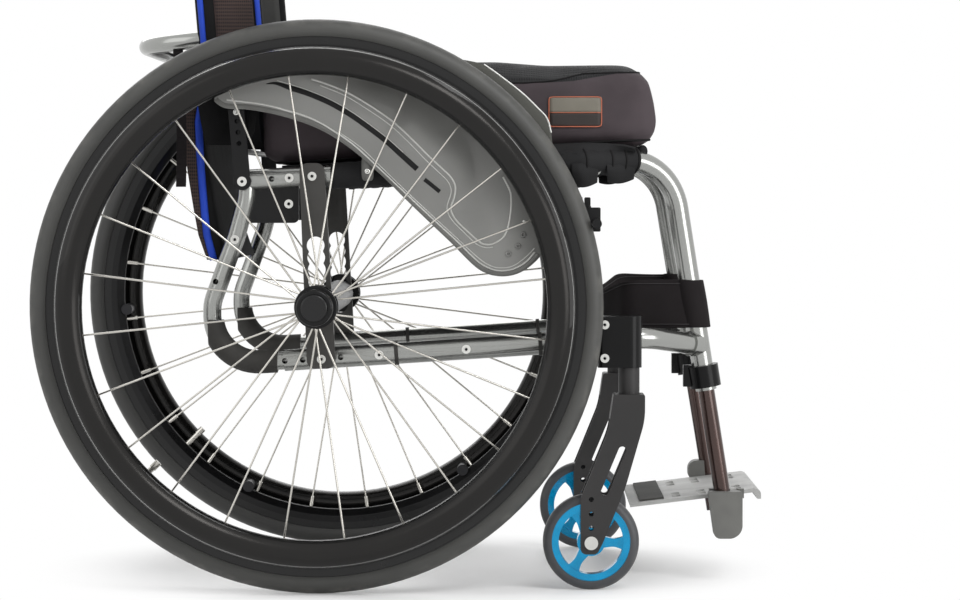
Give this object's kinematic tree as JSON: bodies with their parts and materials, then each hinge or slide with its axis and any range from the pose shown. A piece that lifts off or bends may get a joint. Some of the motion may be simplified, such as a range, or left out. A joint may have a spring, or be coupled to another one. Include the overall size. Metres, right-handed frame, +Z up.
{
  "type": "active wheelchair",
  "caption": "Rigid-frame active wheelchair with spoked drive wheels, push rings, swivelling casters, fold-down back and flip-up footplate.",
  "frame": {"origin": "on the floor under the middle of the chair's length and width", "axes": "+X forward, +Y the sitter's left, +Z up"},
  "size_m": [0.7619, 0.63, 0.86],
  "materials": {
    "tyre": "matt slick rubber tread",
    "rim": "satin black anodised",
    "handrim": "satin black, slightly worn",
    "handrim_tabs": "black moulded posts",
    "spokes": "drawn stainless steel",
    "hub": "black anodised",
    "button": "black moulded, fine sheen",
    "bearing": "ground steel",
    "pin": "ground steel",
    "frame": "silver metallic lacquer",
    "black_metal": "black anodised, satin",
    "fork": "black powder coat",
    "sleeve": "matt rubber sleeve",
    "bolt": "zinc plated",
    "housing": "black moulded",
    "caster_rim": "blue anodised, turned",
    "caster_tyre": "grey-black polyurethane",
    "guard": "grey moulded, fine grain",
    "sling": "black woven nylon",
    "cushion": "stretch cover with spacer mesh top",
    "back": "black padded cloth with blue piping",
    "strap": "padded black webbing",
    "footplate": "bead blasted",
    "pad": "ribbed grip strip",
    "foot_tube": "dark brown anodised",
    "hinge": "grey glass-filled plastic"
  },
  "bodies": {
    "root": {"axle_plates": "black_metal", "axle_receivers": "bolt", "axle_tube": "black_metal", "back_lock_plates": "black_metal", "brake_mounts": "black_metal", "calf_strap": "strap", "caster_housings": "housing", "cross_tube": "frame", "footplate_hinge_base": "hinge", "footplate_rest_hook": "black_metal", "footrest_clamps": "housing", "footrest_tubes": "foot_tube", "frame_bolts": "bolt", "frame_sleeves": "sleeve", "lower_frame_left": "frame", "lower_frame_right": "frame", "quick_release_pins": "pin", "seat_cushion": "cushion", "seat_frame_left": "frame", "seat_frame_right": "frame", "seat_sling": "sling", "side_guard_left": "guard", "side_guard_right": "guard", "stem_bearings": "bearing", "wheel_bearings": "bearing"},
    "wheel_right": {"tyre_right": "tyre", "rim_right": "rim", "handrim_right": "handrim", "handrim_tabs_right": "handrim_tabs", "spokes_right": "spokes", "hub_right": "hub"},
    "button_right": {"release_button_right": "button"},
    "fork_right": {"fork_right": "fork", "caster_axle_set_right": "bolt"},
    "caster_right": {"caster_rim_right": "caster_rim", "caster_tyre_right": "caster_tyre"},
    "brake_shoe_right": {"brake_shoe_right": "black_metal"},
    "brake_lever_right": {"brake_lever_right": "black_metal"},
    "wheel_left": {"tyre_left": "tyre", "rim_left": "rim", "handrim_left": "handrim", "handrim_tabs_left": "handrim_tabs", "spokes_left": "spokes", "hub_left": "hub"},
    "button_left": {"release_button_left": "button"},
    "fork_left": {"fork_left": "fork", "caster_axle_set_left": "bolt"},
    "caster_left": {"caster_rim_left": "caster_rim", "caster_tyre_left": "caster_tyre"},
    "brake_shoe_left": {"brake_shoe_left": "black_metal"},
    "brake_lever_left": {"brake_lever_left": "black_metal"},
    "backrest": {"back_brackets": "black_metal", "back_canes": "black_metal", "rigidizer_bar": "frame", "back_release_rod": "bolt", "back_upholstery": "back"},
    "footplate": {"footplate": "footplate", "footplate_pad": "pad"}
  },
  "joints": [
    {"name": "wheel_spin_right", "type": "hinge", "parent": "root", "child": "wheel_right", "pos_m": [-0.086, -0.267, 0.295], "axis": [0, 1, 0], "continuous": true},
    {"name": "release_button_press_right", "type": "slide", "parent": "root", "child": "button_right", "axis": [0, 1, 0], "range_m": [0, 0.004], "stiffness_N_per_m": 400},
    {"name": "caster_swivel_right", "type": "hinge", "parent": "root", "child": "fork_right", "pos_m": [0.2364, -0.224, 0.217], "axis": [0, 0, 1], "continuous": true},
    {"name": "caster_spin_right", "type": "hinge", "parent": "fork_right", "child": "caster_right", "pos_m": [0.197, -0.224, 0.05], "axis": [0, 1, 0], "continuous": true},
    {"name": "brake_lever_swing_right", "type": "hinge", "parent": "root", "child": "brake_lever_right", "pos_m": [0.15, -0.224, 0.415], "axis": [0, -1, 0], "range_deg": [0, 40]},
    {"name": "brake_shoe_swing_right", "type": "hinge", "parent": "root", "child": "brake_shoe_right", "pos_m": [0.17, -0.224, 0.404], "axis": [0, -1, 0], "range_deg": [0, 35]},
    {"name": "wheel_spin_left", "type": "hinge", "parent": "root", "child": "wheel_left", "pos_m": [-0.086, 0.267, 0.295], "axis": [0, 1, 0], "continuous": true},
    {"name": "release_button_press_left", "type": "slide", "parent": "root", "child": "button_left", "axis": [0, -1, 0], "range_m": [0, 0.004], "stiffness_N_per_m": 400},
    {"name": "caster_swivel_left", "type": "hinge", "parent": "root", "child": "fork_left", "pos_m": [0.2364, 0.224, 0.217], "axis": [0, 0, 1], "continuous": true},
    {"name": "caster_spin_left", "type": "hinge", "parent": "fork_left", "child": "caster_left", "pos_m": [0.197, 0.224, 0.05], "axis": [0, 1, 0], "continuous": true},
    {"name": "brake_lever_swing_left", "type": "hinge", "parent": "root", "child": "brake_lever_left", "pos_m": [0.15, 0.224, 0.415], "axis": [0, -1, 0], "range_deg": [0, 40]},
    {"name": "brake_shoe_swing_left", "type": "hinge", "parent": "root", "child": "brake_shoe_left", "pos_m": [0.17, 0.224, 0.404], "axis": [0, -1, 0], "range_deg": [0, 35]},
    {"name": "backrest_fold", "type": "hinge", "parent": "root", "child": "backrest", "pos_m": [-0.1655, 0, 0.4239], "axis": [0, 1, 0], "range_deg": [0, 58], "deforming": ["seat_cushion"]},
    {"name": "footplate_flip", "type": "hinge", "parent": "root", "child": "footplate", "pos_m": [0.34323, -0.124, 0.09255], "axis": [1, 0, 0], "range_deg": [0, 88]}
  ],
  "couplings": [
    {"joint": "brake_shoe_swing_right", "follows": "brake_lever_swing_right", "ratio": 0.875},
    {"joint": "brake_shoe_swing_left", "follows": "brake_lever_swing_left", "ratio": 0.875}
  ]
}
